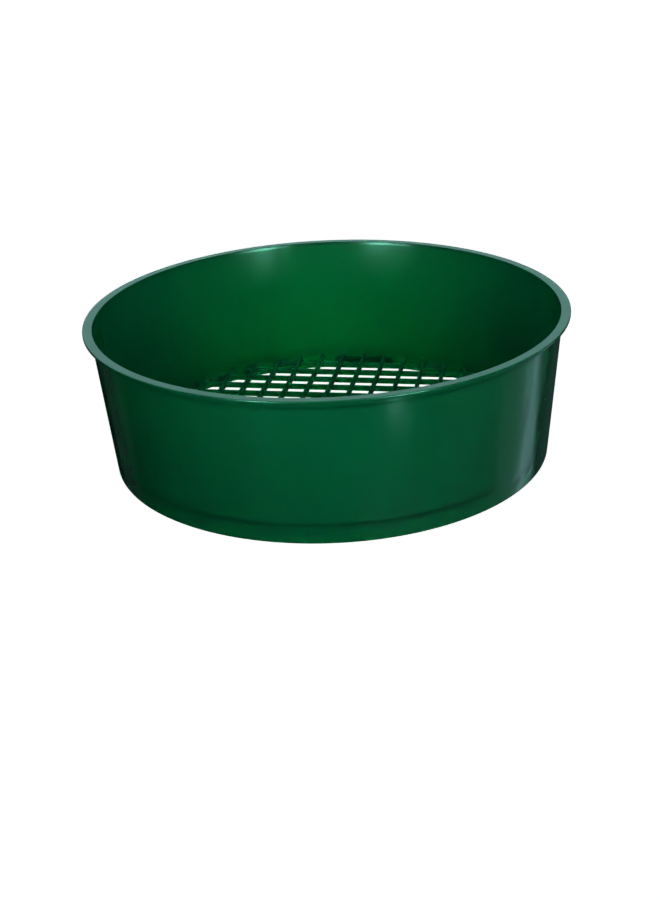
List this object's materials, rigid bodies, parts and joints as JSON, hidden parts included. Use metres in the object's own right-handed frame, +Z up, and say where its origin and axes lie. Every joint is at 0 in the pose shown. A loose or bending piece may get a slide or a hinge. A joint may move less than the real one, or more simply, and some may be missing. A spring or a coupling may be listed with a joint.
{
  "type": "soil sieve",
  "caption": "Shallow round tapered plastic sieve with a flat outward rim flange, a short foot ring and a flat mesh of crossed bars, used to sift soil and compost.",
  "frame": {"origin": "centre of the foot ring's underside, on the plane the sieve stands on", "axes": "+Z up through the open top, +X along the lower mesh bars (the cross bars), +Y along the mesh bars that stand a little higher (the long bars)"},
  "size_m": [0.2, 0.2, 0.061],
  "materials": {
    "wall_plastic": "glossy, slightly translucent moulded plastic, deep green",
    "rim_plastic": "glossy moulded plastic, deep green, paler at its edges where it catches the light",
    "mesh_plastic": "glossy moulded plastic, deep green, with fine draft and soft edges"
  },
  "bodies": {
    "root": {"side_wall": "wall_plastic", "rim_flange": "rim_plastic", "foot_ring": "wall_plastic", "cross_bar_01": "mesh_plastic", "cross_bar_02": "mesh_plastic", "cross_bar_03": "mesh_plastic", "cross_bar_04": "mesh_plastic", "cross_bar_05": "mesh_plastic", "cross_bar_06": "mesh_plastic", "cross_bar_07": "mesh_plastic", "cross_bar_08": "mesh_plastic", "cross_bar_09": "mesh_plastic", "cross_bar_10": "mesh_plastic", "cross_bar_11": "mesh_plastic", "cross_bar_12": "mesh_plastic", "cross_bar_13": "mesh_plastic", "cross_bar_14": "mesh_plastic", "cross_bar_15": "mesh_plastic", "cross_bar_16": "mesh_plastic", "cross_bar_17": "mesh_plastic", "cross_bar_18": "mesh_plastic", "long_bar_01": "mesh_plastic", "long_bar_02": "mesh_plastic", "long_bar_03": "mesh_plastic", "long_bar_04": "mesh_plastic", "long_bar_05": "mesh_plastic", "long_bar_06": "mesh_plastic", "long_bar_07": "mesh_plastic", "long_bar_08": "mesh_plastic", "long_bar_09": "mesh_plastic", "long_bar_10": "mesh_plastic", "long_bar_11": "mesh_plastic", "long_bar_12": "mesh_plastic", "long_bar_13": "mesh_plastic", "long_bar_14": "mesh_plastic", "long_bar_15": "mesh_plastic", "long_bar_16": "mesh_plastic", "long_bar_17": "mesh_plastic"}
  },
  "joints": []
}
